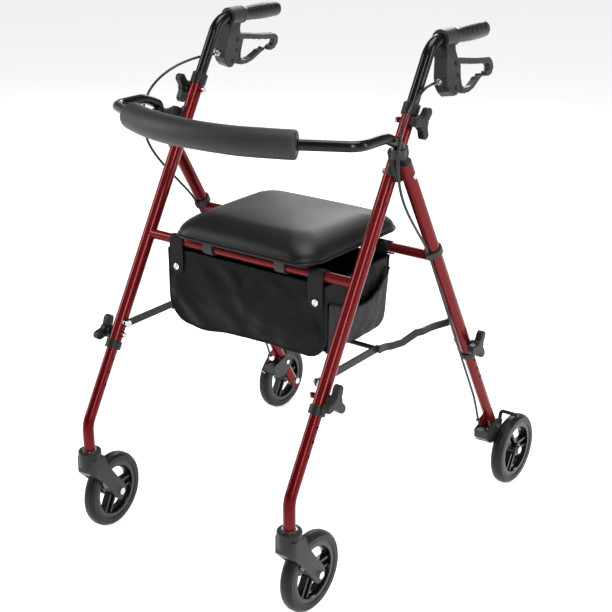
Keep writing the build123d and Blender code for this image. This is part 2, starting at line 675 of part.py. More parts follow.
def lever_faces():
    """The lever's outline and the fingers' opening, in (y, z)."""
    outer = [(101, 927), (122, 926), (181, 917), (227, 912.5), (236, 905), (238, 893), (229, 882)]
    outer += [(216, 879), (196, 883), (187, 880.5), (158, 866), (140, 861.5), (122, 861.5)]
    outer += [(104, 866), (90, 878), (85, 900), (85, 919)]
    hole = [(120.5, 915.5), (176, 907), (221, 902), (226, 897), (225, 891), (217, 888.5)]
    hole += [(205, 889.5), (196, 891.5), (186, 889), (168, 879), (152, 872), (138, 869.5)]
    hole += [(124, 871), (118, 878), (117, 890)]
    face = fillet(make_face(Polyline(*outer, close=True)).vertices(), 3)
    return face, fillet(make_face(Polyline(*hole, close=True)).vertices(), 1.8)


def make_lever():
    """A loop lever: the fingers go through it, and its root turns in the housing."""
    face, hole = lever_faces()
    loops = []
    for half in (LEVER_HALF, LEVER_ROOT_HALF):
        plane = Plane(origin=(FRONT_X - half, 0, 0), x_dir=(0, 1, 0), z_dir=(1, 0, 0))
        loops.append(extrude(plane * (face - hole), amount=2 * half))
    behind = plate_x(FRONT_X - 20, FRONT_X + 20, [(114, 840), (270, 840), (270, 940), (114, 940)])
    lever = (loops[0] & behind) + loops[1]
    for y in (142, 162, 182, 202):
        lever -= bar_x(FRONT_X - 20, FRONT_X + 20, y, 913.5 - (y - 121) * 0.13 - 10, 12)
    y, z = LEVER_PIVOT
    lever -= bar_x(FRONT_X - 20, FRONT_X + 20, y, z, LEVER_BORE_R)
    return lean_out(lever)


save_sides("handle_tube", make_handle_tube())
save_sides("grip", make_grip())
save_sides("brake_housing", make_brake_housing())
save_sides("lever_fittings", make_lever_fittings())
save_sides("brake_lever", make_lever())

# ---------------------------------------------------------------- clamp knobs
KNOB_ARM = 22.5
KNOB_ARM_R = 8.5
KNOB_THICK = 13.0
KNOB_GAP = 2.5
KNOB_HUB = 8.5


def make_knob(tube_x, y, z, turn):
    """A three-armed knob on the outer side of a tube, with its threaded stud."""
    face = tube_x + FRAME_R + KNOB_GAP
    plane = Plane(origin=(face + KNOB_HUB, y, z), x_dir=(0, 1, 0), z_dir=(1, 0, 0))
    outline = Circle(13.5)
    for arm in range(3):
        angle = turn + 120 * arm
        slot = SlotCenterToCenter(KNOB_ARM, 2 * KNOB_ARM_R)
        outline += Rot(0, 0, angle) * Pos(KNOB_ARM / 2, 0) * slot
    star = extrude(plane * outline, amount=KNOB_THICK)
    star = fillet(star.faces().sort_by(Axis.X)[-1].edges(), 3)
    hub = bar_x(face, face + KNOB_HUB + 0.01, y, z, 9.5)
    stud = bar_x(tube_x + INNER_R + 0.4, face + 5, y, z, CLAMP_SCREW_R)
    return star + hub + stud


for side_name, turn in (("right", 45), ("left", 0)):
    knob = make_knob(FRONT_X, front_y(HANDLE_CLAMP_Z), HANDLE_CLAMP_Z, turn)
    save(f"handle_knob_{side_name}", knob if side_name == "right" else mirrored(knob))
save_sides("front_leg_knob", make_knob(FRONT_X, front_y(FRONT_CLAMP_Z), FRONT_CLAMP_Z, 70))
save_sides("rear_leg_knob", make_knob(REAR_X, rear_y(REAR_CLAMP_Z), REAR_CLAMP_Z, 62))

# ---------------------------------------------------------------- front legs and casters
FRONT_LEG_TOP_Z = 500.0
STEM_R = 5.5
FORK_HEAD_R = 22.5
FORK_GAP = TYRE_WIDTH / 2 + 4.5
FORK_ARM = 5.0
FORK_TOP_Z = CASTER_LEG_Z - 4.5
AXLE_R = 4.0


def make_front_leg():
    top = (FRONT_X, front_y(FRONT_LEG_TOP_Z), FRONT_LEG_TOP_Z)
    foot = (FRONT_X, STEM_Y, CASTER_LEG_Z)
    path = FilletPolyline(foot, (FRONT_X, STEM_Y, CASTER_BEND_Z), top, radius=55)
    section = Plane(origin=foot, x_dir=(1, 0, 0), z_dir=(0, 0, 1))
    tube = sweep(section * (Circle(INNER_R) - Circle(INNER_BORE_R)), path=path)
    for step in range(-3, 5):
        z = FRONT_CLAMP_Z - step * HOLE_PITCH * COS
        tube -= bar_x(FRONT_X - 20, FRONT_X + 20, front_y(z), z, CLAMP_SCREW_R + 0.3)
    bush = rod(foot, (FRONT_X, STEM_Y, CASTER_LEG_Z + 30), INNER_BORE_R - 0.02)
    bush += rod((FRONT_X, STEM_Y, CASTER_LEG_Z - 2), (FRONT_X, STEM_Y, CASTER_LEG_Z - 0.01), INNER_R)
    bush -= rod((FRONT_X, STEM_Y, 150), (FRONT_X, STEM_Y, 240), STEM_R + RUNNING_GAP)
    return [tube, bush]


def make_fork():
    """A moulded fork: a round head on the stem, a closed shoulder and two arms."""
    half = FORK_GAP + FORK_ARM
    outline = [(STEM_Y - 17, FORK_TOP_Z - 14), (STEM_Y - 18, 145), (STEM_Y + 12, 113)]
    outline += [(CASTER_Y - 12, 66), (CASTER_Y - 6, 60), (CASTER_Y + 4, 59), (CASTER_Y + 14, 66)]
    outline += [(CASTER_Y + 17, 76), (CASTER_Y + 13, 88), (STEM_Y + 52, 111), (STEM_Y + 26, 148)]
    outline += [(STEM_Y + 16, FORK_TOP_Z - 14)]
    fork = plate_x(FRONT_X - half, FRONT_X + half, outline)
    long_edges = [edge for edge in fork.edges() if edge.length < 60 and edge.center().Y < STEM_Y - 10]
    fork = fillet([edge for edge in long_edges if abs(edge.tangent_at(0.5).X) < 0.1], 9)
    head = rod((FRONT_X, STEM_Y, FORK_TOP_Z - 34), (FRONT_X, STEM_Y, FORK_TOP_Z), FORK_HEAD_R)
    fork += fillet(head.faces().sort_by(Axis.Z)[-1].edges(), 3)
    fork -= bar_x(FRONT_X - FORK_GAP, FRONT_X + FORK_GAP, CASTER_Y, WHEEL_R, WHEEL_R + 4)
    fork -= bar_x(FRONT_X - 40, FRONT_X + 40, CASTER_Y, WHEEL_R, AXLE_R + 0.01)
    return fork - rod((FRONT_X, STEM_Y, 100), (FRONT_X, STEM_Y, 240), STEM_R + 0.01)


def make_caster_hardware():
    """The stem with its bright washer, and the fork's axle with head and nut."""
    stem = rod((FRONT_X, STEM_Y, 166), (FRONT_X, STEM_Y, CASTER_LEG_Z + 34), STEM_R)
    stem += rod((FRONT_X, STEM_Y, FORK_TOP_Z + 0.01), (FRONT_X, STEM_Y, FORK_TOP_Z + 1.8), 14)
    half = FORK_GAP + FORK_ARM
    axle = bar_x(FRONT_X - half - 5, FRONT_X + half + 5, CASTER_Y, WHEEL_R, AXLE_R)
    axle += bar_x(FRONT_X + half + 0.01, FRONT_X + half + 5, CASTER_Y, WHEEL_R, 7)
    axle += bar_x(FRONT_X - half - 5, FRONT_X - half - 0.01, CASTER_Y, WHEEL_R, 7)
    return [stem, axle]


save_sides("front_leg", make_front_leg())
save_caster("caster_fork", make_fork())
save_caster("caster_hardware", make_caster_hardware())

# ---------------------------------------------------------------- wheels
HUB_R = 13.0
HUB_HALF = 14.0
SPOKES = 3
RIB_OFFSET = 8.0
RIB_WIDTH = 5.0


def make_rim(x, y):
    """A moulded rim: a channel for the tyre, a hub and three spokes of two ribs each."""
    profile = Pos(x, y, WHEEL_R) * Rot(0, 90, 0)
    ring = Cylinder(RIM_R, 22) - Cylinder(RIM_R - 7, 30)
    web = Cylinder(RIM_R - 6.9, 6) - Cylinder(RIM_R - 12, 10)
    hub = Cylinder(HUB_R, 2 * HUB_HALF) - Cylinder(AXLE_R + RUNNING_GAP, 60)
    rim = ring + web + hub
    length = RIM_R - 8 - HUB_R + 4
    for spoke in range(SPOKES):
        for offset in (-RIB_OFFSET, RIB_OFFSET):
            rib = Pos(HUB_R - 3 + length / 2, offset, 0) * Box(length, RIB_WIDTH, 14)
            rim += Rot(0, 0, 90 + spoke * 360 / SPOKES) * rib
        floor = Pos(HUB_R - 3 + length / 2, 0, 0) * Box(length, 2 * RIB_OFFSET, 4)
        rim += Rot(0, 0, 90 + spoke * 360 / SPOKES) * floor
    return profile * rim


def make_tyre(x, y):
    """A solid tyre with a rounded tread."""
    half = TYRE_WIDTH / 2
    section = [(RIM_R + 0.02, -10.9), (RIM_R + 3, -half), (WHEEL_R - 7, -half), (WHEEL_R - 2, -half + 4)]
    section += [(WHEEL_R, -half + 9), (WHEEL_R, half - 9), (WHEEL_R - 2, half - 4), (WHEEL_R - 7, half)]
    section += [(RIM_R + 3, half), (RIM_R + 0.02, 10.9)]
    face = Plane.XZ * make_face(Polyline(*section, close=True))
    return Pos(x, y, WHEEL_R) * Rot(0, 90, 0) * revolve(face, Axis.Z)


save_caster("front_rim", make_rim(FRONT_X, CASTER_Y))
save_caster("front_tyre", make_tyre(FRONT_X, CASTER_Y))
save_sides("rear_rim", make_rim(REAR_WHEEL_X, REAR_AXLE_Y))
save_sides("rear_tyre", make_tyre(REAR_WHEEL_X, REAR_AXLE_Y))

# ---------------------------------------------------------------- rear legs and brakes
REAR_LEG_TOP_Z = 448.0
REAR_LEG_PAST_AXLE = 15.0
BRAKE_PIVOT_Z = 138.0
BRAKE_PIVOT_Y = rear_y(BRAKE_PIVOT_Z)
BRAKE_PIN_R = 3.0
LUG_POINT = (231.0, 163.0)
CHEEK_IN = INNER_R + 0.5
CHEEK_OUT = INNER_R + 3.6
BRAKE_ROD_R = 4.0
BRAKE_ROD_GAP = 6.3
BRAKE_ROD_Y = REAR_AXLE_Y - 12.0
BRAKE_ROD_Z = WHEEL_R + sqrt((WHEEL_R + BRAKE_ROD_R + BRAKE_ROD_GAP) ** 2 - 12.0 ** 2)


def make_rear_leg():
    plane = rear_tube_plane(1, WHEEL_R)
    top = (REAR_LEG_TOP_Z - WHEEL_R) / COS
    tube = on_plane(plane, -REAR_LEG_PAST_AXLE, top, INNER_R)
    y, z = LUG_POINT
    leg_y = rear_y(z)
    lug = plate_x(REAR_X - 1.5, REAR_X + 1.5, [
        (y - 9, z - 4), (y - 5, z + 9), (leg_y - 4, z + 22), (leg_y + 4, z - 4), (y + 2, z - 10)])
    lug -= on_plane(plane, -REAR_LEG_PAST_AXLE, top, INNER_R - 0.5)
    tube = tube + lug
    tube -= on_plane(plane, -REAR_LEG_PAST_AXLE + 3, top + 1, INNER_BORE_R)
    for step in range(-2, 5):
        hole_z = REAR_CLAMP_Z - step * HOLE_PITCH * COS
        tube -= bar_x(REAR_X - 20, REAR_X + 20, rear_y(hole_z), hole_z, CLAMP_SCREW_R + 0.3)
    tube -= bar_x(REAR_X - 20, REAR_X + 20, REAR_AXLE_Y, WHEEL_R, AXLE_R + 0.01)
    return tube - bar_x(REAR_X - 20, REAR_X + 20, BRAKE_PIVOT_Y, BRAKE_PIVOT_Z, BRAKE_PIN_R + 0.01)


def make_rear_hardware():
    """The wheel's axle bolt, the brake arm's pin and the cable's stop."""
    wheel_out = REAR_WHEEL_X + HUB_HALF
    axle = bar_x(REAR_X - INNER_R - 6, wheel_out + 5, REAR_AXLE_Y, WHEEL_R, AXLE_R)
    head = bar_x(REAR_X - INNER_R - 6, REAR_X - 5, REAR_AXLE_Y, WHEEL_R, 7)
    spacer = bar_x(REAR_X + 5, REAR_WHEEL_X - HUB_HALF - 0.4, REAR_AXLE_Y, WHEEL_R, 7)
    space = on_plane(rear_tube_plane(1, WHEEL_R), -20, 20, INNER_R + 0.01)
    axle += (head - space) + (spacer - space)
    axle += bar_x(wheel_out + 0.4, wheel_out + 5, REAR_AXLE_Y, WHEEL_R, 8)
    reach = CHEEK_OUT + 1.6
    pin = bar_x(REAR_X - reach, REAR_X + reach, BRAKE_PIVOT_Y, BRAKE_PIVOT_Z, BRAKE_PIN_R)
    pin += bar_x(REAR_X - reach, REAR_X - CHEEK_OUT - 0.3, BRAKE_PIVOT_Y, BRAKE_PIVOT_Z, 5)
    pin += bar_x(REAR_X + CHEEK_OUT + 0.3, REAR_X + reach, BRAKE_PIVOT_Y, BRAKE_PIVOT_Z, 5)
    y, z = LUG_POINT
    stop = rod((REAR_X - 1.51, y, z), (REAR_X - 9, y, z), 6)
    return [axle, pin, stop]


def make_brake_arm():
    """Two moulded cheeks on the leg, joined in front, and the bent rod that presses the tyre."""
    cheek = [(231, 142), (233, 124), (248, 110), (266, 107), (282, 118), (297, 134)]
    cheek += [(301, 144), (292, 152), (276, 156), (252, 148)]
    arm = plate_x(REAR_X + CHEEK_IN, REAR_X + CHEEK_OUT, cheek)
    arm += plate_x(REAR_X - CHEEK_OUT, REAR_X - CHEEK_IN, cheek)
    nose = [(231, 142), (233, 124), (248, 110), (253, 112), (249, 128), (245, 142)]
    arm += plate_x(REAR_X - CHEEK_OUT, REAR_X + CHEEK_OUT, nose)
    post_x = REAR_X + 8
    outer_x = REAR_WHEEL_X + TYRE_WIDTH / 2 + 3
    bend = (post_x, BRAKE_ROD_Y, BRAKE_ROD_Z)
    path = FilletPolyline((post_x, 298.5, 138), bend, (outer_x, BRAKE_ROD_Y, BRAKE_ROD_Z), radius=7)
    arm += swept(path, BRAKE_ROD_R)
    return arm - bar_x(REAR_X - 30, REAR_X + 30, BRAKE_PIVOT_Y, BRAKE_PIVOT_Z, BRAKE_PIN_R + RUNNING_GAP)


save_sides("rear_leg", make_rear_leg())
save_sides("rear_hardware", make_rear_hardware())
save_sides("brake_arm", make_brake_arm())

# ---------------------------------------------------------------- brake cables
# Each cable leaves the adjuster forwards, bows out in front of the frame, passes the
# clip on the rear tube and runs down that tube's front to the stop on the leg.
def beside_rear_tube(x, z, gap):
    """A point in front of the rear tube: gap is its distance from the axis point at z."""
    return (x, rear_y(z) - gap * COS, z - gap * SIN)


CABLE_ROUTE = [
    (256.8, 37.8, 894.3), (260, 14, 894.8), (267, -17, 891), (275, -51, 883), (282, -84, 869),
    (288, -112, 848), (292, -128, 821), (293.5, -133, 791), (293.5, -129, 759), (291.5, -115, 727),
    (288, -91, 695), (284.5, -61, 662), (281.5, -31.5, 631),
    beside_rear_tube(280, 612, CABLE_OFFSET), beside_rear_tube(280, 572, CABLE_OFFSET),
    beside_rear_tube(280, 510, 18.0), beside_rear_tube(280, 450, 19.5),
    beside_rear_tube(279, 390, 20.5), beside_rear_tube(278, 330, 21.0),
    beside_rear_tube(276.5, 275, 20.5), beside_rear_tube(275, 225, 20.5), (275, 227.4, 168.9),
]


def bend_radii(points):
    """The largest tangent arc that each corner's two runs have room for."""
    radii = []
    for before, here, after in zip(points, points[1:], points[2:]):
        run_in = Vector(here) - Vector(before)
        run_out = Vector(after) - Vector(here)
        half_turn = radians(run_in.get_angle(run_out)) / 2
        radii.append(0.45 * min(run_in.length, run_out.length) / tan(half_turn))
    return radii


def make_cable():
    radii = bend_radii(CABLE_ROUTE)
    print("cable bend radii", [round(radius) for radius in radii])
    path = FilletPolyline(*CABLE_ROUTE, radius=radii)
    first = Vector(CABLE_ROUTE[0])
    section = Plane(origin=first, z_dir=Vector(CABLE_ROUTE[1]) - first)
    cable = sweep(section * Circle(CABLE_R), path=path)
    expected = path.length * 3.141593 * CABLE_R ** 2
    print("cable length", round(path.length, 1), "volume ratio", round(cable.volume / expected, 4))
    return cable


save_sides("brake_cable", make_cable())
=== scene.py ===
"""Looks of a folding rollator walker: finishes, soft goods, cables, light and camera."""

import json
import math

import bmesh
import bpy
from mathutils import Matrix, Vector, noise


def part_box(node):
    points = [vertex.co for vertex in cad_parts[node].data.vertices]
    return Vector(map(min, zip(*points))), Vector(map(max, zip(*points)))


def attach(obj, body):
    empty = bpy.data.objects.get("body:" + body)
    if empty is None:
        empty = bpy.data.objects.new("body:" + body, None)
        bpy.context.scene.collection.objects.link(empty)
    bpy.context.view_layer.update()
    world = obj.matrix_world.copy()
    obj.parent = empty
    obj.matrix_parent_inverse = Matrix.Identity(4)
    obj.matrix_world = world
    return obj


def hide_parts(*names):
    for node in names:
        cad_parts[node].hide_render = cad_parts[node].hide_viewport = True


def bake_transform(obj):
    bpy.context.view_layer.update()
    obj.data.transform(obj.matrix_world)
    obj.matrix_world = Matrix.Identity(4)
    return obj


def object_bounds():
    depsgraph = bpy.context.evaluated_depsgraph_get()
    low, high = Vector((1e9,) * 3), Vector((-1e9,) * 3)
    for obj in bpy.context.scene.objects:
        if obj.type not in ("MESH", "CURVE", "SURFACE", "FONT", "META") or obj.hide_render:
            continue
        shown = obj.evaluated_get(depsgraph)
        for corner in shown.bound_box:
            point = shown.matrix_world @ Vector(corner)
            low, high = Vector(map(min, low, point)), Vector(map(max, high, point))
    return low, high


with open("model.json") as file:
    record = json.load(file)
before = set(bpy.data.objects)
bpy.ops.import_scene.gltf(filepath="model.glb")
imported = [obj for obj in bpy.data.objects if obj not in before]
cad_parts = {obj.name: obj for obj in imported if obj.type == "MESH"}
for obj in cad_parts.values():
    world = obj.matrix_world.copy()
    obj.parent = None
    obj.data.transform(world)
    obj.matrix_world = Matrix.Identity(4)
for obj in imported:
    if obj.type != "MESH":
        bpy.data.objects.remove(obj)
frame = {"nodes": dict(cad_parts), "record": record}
cad_low, cad_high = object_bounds()
nodes = frame["nodes"]
SIDES = {"left": -1.0, "right": 1.0}

# ---------------------------------------------------------------- camera
CAMERA_PLACE = (1.3677, -1.8141, 1.3061)
CAMERA_AZIMUTH = math.radians(37.0)
CAMERA_ELEVATION = math.radians(21.14)
CAMERA_ROLL = math.radians(-0.2)


def make_camera():
    data = bpy.data.cameras.new("camera")
    data.lens = 72.1
    data.sensor_width = 36.0
    level = math.cos(CAMERA_ELEVATION)
    back = Vector((
        math.sin(CAMERA_AZIMUTH) * level,
        -math.cos(CAMERA_AZIMUTH) * level,
        math.sin(CAMERA_ELEVATION),
    ))
    right = Vector((math.cos(CAMERA_AZIMUTH), math.sin(CAMERA_AZIMUTH), 0.0))
    turn = Matrix.Rotation(CAMERA_ROLL, 3, back)
    right = turn @ right
    rotation = Matrix((right, back.cross(right), back)).transposed()
    camera = bpy.data.objects.new("camera", data)
    camera.matrix_world = Matrix.Translation(CAMERA_PLACE) @ rotation.to_4x4()
    bpy.context.scene.collection.objects.link(camera)
    bpy.context.scene.camera = camera


make_camera()


# ---------------------------------------------------------------- node materials
def linked(tree, kind, inputs=None, **settings):
    """A new node with its settings, and its inputs set or linked."""
    node = tree.nodes.new(kind)
    for key, value in settings.items():
        setattr(node, key, value)
    for key, value in (inputs or {}).items():
        if isinstance(value, bpy.types.NodeSocket):
            tree.links.new(value, node.inputs[key])
        else:
            node.inputs[key].default_value = value
    return node


def noise_value(tree, place, scale, detail=3.0):
    made = linked(tree, "ShaderNodeTexNoise", {"Vector": place, "Scale": scale, "Detail": detail})
    return made.outputs["Fac"]


def voronoi_value(tree, place, scale):
    made = linked(tree, "ShaderNodeTexVoronoi", {"Vector": place, "Scale": scale})
    return made.outputs["Distance"]


def weave_value(tree, place, scale):
    """Two crossed sets of threads, as in a plain weave."""
    waves = []
    for direction in ("X", "Z"):
        wave = linked(
            tree, "ShaderNodeTexWave", {"Vector": place, "Scale": scale, "Distortion": 0.4},
            bands_direction=direction,
        )
        waves.append(wave.outputs["Fac"])
    added = linked(tree, "ShaderNodeMath", {0: waves[0], 1: waves[1]}, operation="ADD")
    return added.outputs[0]


GRAINS = {"noise": noise_value, "leather": voronoi_value, "weave": weave_value}


def finish_material(
    name, color, roughness, metallic=0.0, coat=0.0, sheen=0.0, specular=0.5,
    tone=0.2, tone_scale=25.0, grain="noise", grain_scale=900.0, bump=0.15, bump_depth=0.0003,
    edge=0.0,
):
    """A principled finish whose colour and roughness vary slowly, over a fine surface grain."""
    made = bpy.data.materials.new(name)
    made.use_nodes = True
    tree = made.node_tree
    shader = tree.nodes["Principled BSDF"]
    shader.inputs["Metallic"].default_value = metallic
    shader.inputs["Specular IOR Level"].default_value = specular
    shader.inputs["Coat Weight"].default_value = coat
    shader.inputs["Coat Roughness"].default_value = 0.06
    shader.inputs["Sheen Weight"].default_value = sheen
    shader.inputs["Sheen Roughness"].default_value = 0.4
    place = tree.nodes.new("ShaderNodeTexCoord").outputs["Object"]
    slow = noise_value(tree, place, tone_scale, 5.0)
    ramp = linked(tree, "ShaderNodeValToRGB", {"Fac": slow})
    ramp.color_ramp.elements[0].position = 0.3
    ramp.color_ramp.elements[1].position = 0.7
    ramp.color_ramp.elements[0].color = (*[c * (1 - tone) for c in color], 1)
    ramp.color_ramp.elements[1].color = (*[min(c * (1 + tone), 1) for c in color], 1)
    result = ramp.outputs["Color"]
    # Sharp convex edges, found by Pointiness, are given a paler colour than the rest of the finish.
    if edge:
        edge_colour = (*[min(c * (1 + edge) + 0.01, 1) for c in color], 1)
        points = tree.nodes.new("ShaderNodeNewGeometry").outputs["Pointiness"]
        sharp_edge_share = linked(
            tree, "ShaderNodeMapRange", {"Value": points, "From Min": 0.53, "From Max": 0.62})
        mixed = linked(tree, "ShaderNodeMix", {"Factor": sharp_edge_share.outputs[0]}, data_type="RGBA")
        tree.links.new(result, mixed.inputs["A"])
        mixed.inputs["B"].default_value = edge_colour
        result = mixed.outputs["Result"]
    tree.links.new(result, shader.inputs["Base Color"])
    spread = linked(
        tree, "ShaderNodeMapRange",
        {"Value": slow, "To Min": roughness * 0.85, "To Max": roughness * 1.15},
    )
    tree.links.new(spread.outputs[0], shader.inputs["Roughness"])
    height = GRAINS[grain](tree, place, grain_scale)
    bumped = linked(
        tree, "ShaderNodeBump", {"Height": height, "Strength": bump, "Distance": bump_depth})
    tree.links.new(bumped.outputs["Normal"], shader.inputs["Normal"])
    return made


def net_material():
    """Knitted net: dark grey threads in small cells over a black ground."""
    made = finish_material(
        "bag_net", (0.02, 0.021, 0.022), 0.6, specular=0.2, grain="weave", grain_scale=260.0,
        bump=0.6, bump_depth=0.0008)
    tree = made.node_tree
    shader = tree.nodes["Principled BSDF"]
    place = tree.nodes.new("ShaderNodeTexCoord").outputs["Object"]
    cells = voronoi_value(tree, place, 420.0)
    ramp = linked(tree, "ShaderNodeValToRGB", {"Fac": cells})
    ramp.color_ramp.elements[0].position = 0.25
    ramp.color_ramp.elements[1].position = 0.6
    ramp.color_ramp.elements[0].color = (0.003, 0.003, 0.0035, 1)
    ramp.color_ramp.elements[1].color = (0.03, 0.032, 0.034, 1)
    tree.links.new(ramp.outputs["Color"], shader.inputs["Base Color"])
    return made


FINISHES = {
    "red_paint": finish_material(
        "red_paint", (0.085, 0.0012, 0.0024), 0.17, metallic=0.55, specular=0.16, tone=0.2,
        tone_scale=18.0, grain_scale=2500.0, bump=0.05, edge=0.4),
    "black_paint": finish_material(
        "black_paint", (0.002, 0.002, 0.002), 0.2, specular=0.25, tone=0.3, grain_scale=500.0,
        bump=0.04),
    "steel": finish_material(
        "steel", (0.62, 0.62, 0.63), 0.26, metallic=1.0, tone=0.12, tone_scale=90.0,
        grain_scale=1800.0, bump=0.12),
    "dark_steel": finish_material(
        "dark_steel", (0.003, 0.0032, 0.003), 0.34, specular=0.16, tone=0.25,
        tone_scale=40.0, grain_scale=1200.0, bump=0.15, edge=2.0),
    "moulded_plastic": finish_material(
        "moulded_plastic", (0.008, 0.0083, 0.0082), 0.38, specular=0.22, tone=0.12,
        grain_scale=2400.0, bump=0.3, edge=0.8),
    "rim_plastic": finish_material(
        "rim_plastic", (0.003, 0.003, 0.0032), 0.24, specular=0.35, tone=0.15,
        grain_scale=900.0, bump=0.08, edge=1.5),
    "tyre": finish_material(
        "tyre", (0.005, 0.0053, 0.0052), 0.38, specular=0.2, tone=0.18, tone_scale=45.0,
        grain_scale=1500.0, bump=0.35, edge=0.3),
    "grip_rubber": finish_material(
        "grip_rubber", (0.003, 0.003, 0.0032), 0.35, specular=0.4, tone=0.2,
        grain_scale=1600.0, bump=0.25),
    "foam": finish_material(
        "foam", (0.016, 0.017, 0.015), 0.5, specular=0.3, tone=0.1, tone_scale=30.0,
        grain="leather", grain_scale=1500.0, bump=0.2),
    "vinyl": finish_material(
        "vinyl", (0.003, 0.0031, 0.0029), 0.42, specular=0.24, tone=0.15, tone_scale=14.0,
        grain="leather", grain_scale=900.0, bump=0.22, bump_depth=0.0004),
    "nylon": finish_material(
        "nylon", (0.0010, 0.0011, 0.0009), 0.4, specular=0.1, tone=0.2, tone_scale=20.0,
        grain="weave", grain_scale=420.0, bump=0.2, bump_depth=0.0003),
    "webbing": finish_material(
        "webbing", (0.003, 0.003, 0.003), 0.6, specular=0.2, tone=0.2, grain="weave",
        grain_scale=260.0, bump=0.5, bump_depth=0.0005),
    "board": finish_material(
        "board", (0.008, 0.0075, 0.007), 0.6, specular=0.25, tone=0.3, grain_scale=400.0),
    "cable": finish_material(
        "cable", (0.003, 0.003, 0.003), 0.28, specular=0.4, tone=0.15, grain_scale=700.0),
}
FINISHES["net"] = net_material()

for row in frame["record"]["subparts"]:
    mesh = nodes[row["node"]].data
    mesh.materials.clear()
    mesh.materials.append(FINISHES[row["material_slot"]])

# Behind the adjuster, the brake's pins and rivets are black.
RIVETS_START_Y = 0.062
for side in SIDES:
    fittings = nodes[f"lever_fittings_{side}"].data
    fittings.materials.append(FINISHES["black_paint"])
    for face in fittings.polygons:
        face.material_index = int(face.center.y > RIVETS_START_Y)


# ---------------------------------------------------------------- mesh helpers
def new_object(name, mesh, finish, body=None, smooth=True):
    piece = bpy.data.objects.new(name, mesh)
    bpy.context.scene.collection.objects.link(piece)
    mesh.materials.clear()
    mesh.materials.append(FINISHES[finish])
    if smooth:
        mesh.polygons.foreach_set("use_smooth", [True] * len(mesh.polygons))
    if body:
        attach(piece, body)
    return piece


def grid_mesh(name, rows, closed_rows=False):
    """A mesh of quads over rows of points; closed_rows joins each row's end to its start."""
    mesh = bpy.data.meshes.new(name)
    width = len(rows[0])
    points = [tuple(p) for row in rows for p in row]
    faces = []
    last = width if closed_rows else width - 1
    for i in range(len(rows) - 1):
        for j in range(last):
            k = (j + 1) % width
            faces.append((i * width + j, i * width + k, (i + 1) * width + k, (i + 1) * width + j))
    mesh.from_pydata(points, [], faces)
    mesh.update()
    return mesh


def tidy_normals(mesh):
    shape = bmesh.new()
    shape.from_mesh(mesh)
    bmesh.ops.remove_doubles(shape, verts=shape.verts, dist=1e-6)
    bmesh.ops.recalc_face_normals(shape, faces=shape.faces)
    shape.to_mesh(mesh)
    shape.free()


def tube_mesh(name, points, radius, closed=False, sides=10):
    """A round tube along points, capped unless it closes on itself."""
    points = [Vector(p) for p in points]
    rings = []
    count = len(points)
    normal = None
    for i, point in enumerate(points):
        before = points[i - 1] if closed or i else point
        after = points[(i + 1) % count] if closed or i < count - 1 else point
        along = (after - before).normalized()
        if normal is None:
            normal = along.orthogonal().normalized()
        normal = (normal - along * normal.dot(along)).normalized()
        other = along.cross(normal)
        ring = []
        for step in range(sides):
            angle = 2 * math.pi * step / sides
            ring.append(point + radius * (math.cos(angle) * normal + math.sin(angle) * other))
        rings.append(ring)
    if closed:
        rings.append(rings[0])
    else:
        rings = [[points[0]] * sides] + rings + [[points[-1]] * sides]
    mesh = grid_mesh(name, rings, closed_rows=True)
    tidy_normals(mesh)
    return mesh


def thicken(piece, thickness):
    """Gives an open sheet its two faces."""
    solid = piece.modifiers.new("thickness", "SOLIDIFY")
    solid.thickness = thickness
    solid.offset = 0.0


def wrinkle(point, scale, depth):
    """A smooth random height, the same in every run."""
    return depth * noise.fractal(Vector(point) * scale, 0.8, 2.0, 3)


# ---------------------------------------------------------------- brake cables
# The cable's route, right side, in metres: the same points as the CAD tube's.
CABLE_RADIUS = 0.0025
CABLE_ROUTE = [
    (0.2568, 0.0378, 0.8943), (0.260, 0.014, 0.8948), (0.267, -0.017, 0.891),
    (0.275, -0.051, 0.883), (0.282, -0.084, 0.869), (0.288, -0.112, 0.848),
    (0.292, -0.128, 0.821), (0.2935, -0.133, 0.791), (0.2935, -0.129, 0.759),
    (0.2915, -0.115, 0.727), (0.288, -0.091, 0.695), (0.2845, -0.061, 0.662),
    (0.2815, -0.0315, 0.631),
]
PIVOT_Y, PIVOT_Z = -0.077, 0.757
RAKE = math.radians(30.0)
BESIDE_REAR_TUBE = [
    (0.280, 0.612, 0.0162), (0.280, 0.572, 0.0162), (0.280, 0.510, 0.018),
    (0.280, 0.450, 0.0195), (0.279, 0.390, 0.0205), (0.278, 0.330, 0.021),
    (0.2765, 0.275, 0.0205), (0.275, 0.225, 0.0205),
]
CABLE_END = (0.275, 0.2274, 0.1689)
FRAME_PART_Z = 0.800        # above this height lies the cable's top stretch
CLIP_Z = 0.596              # below this one lies its lower stretch


def rear_tube_y(z):
    return PIVOT_Y + (PIVOT_Z - z) * math.tan(RAKE)


for x, z, gap in BESIDE_REAR_TUBE:
    CABLE_ROUTE.append((x, rear_tube_y(z) - gap * math.cos(RAKE), z - gap * math.sin(RAKE)))
CABLE_ROUTE.append(CABLE_END)


def smooth_line(name, points):
    """The points of a NURBS line with these control points."""
    data = bpy.data.curves.new(name, "CURVE")
    data.dimensions = "3D"
    data.resolution_u = 8
    spline = data.splines.new("NURBS")
    spline.points.add(len(points) - 1)
    for target, point in zip(spline.points, points):
        target.co = (*point, 1.0)
    spline.order_u = 3
    spline.use_endpoint_u = True
    holder = bpy.data.objects.new(name, data)
    bpy.context.scene.collection.objects.link(holder)
    line = bpy.data.meshes.new_from_object(holder)
    found = [v.co.copy() for v in line.vertices]
    bpy.data.objects.remove(holder)
    bpy.data.meshes.remove(line)
    return found


def part_of_line(line, high, low):
    """The stretch of the line from the height high down to low, with one point past low."""
    inside = [i for i, p in enumerate(line) if low <= p.z <= high]
    return line[inside[0]:min(inside[-1] + 2, len(line))]


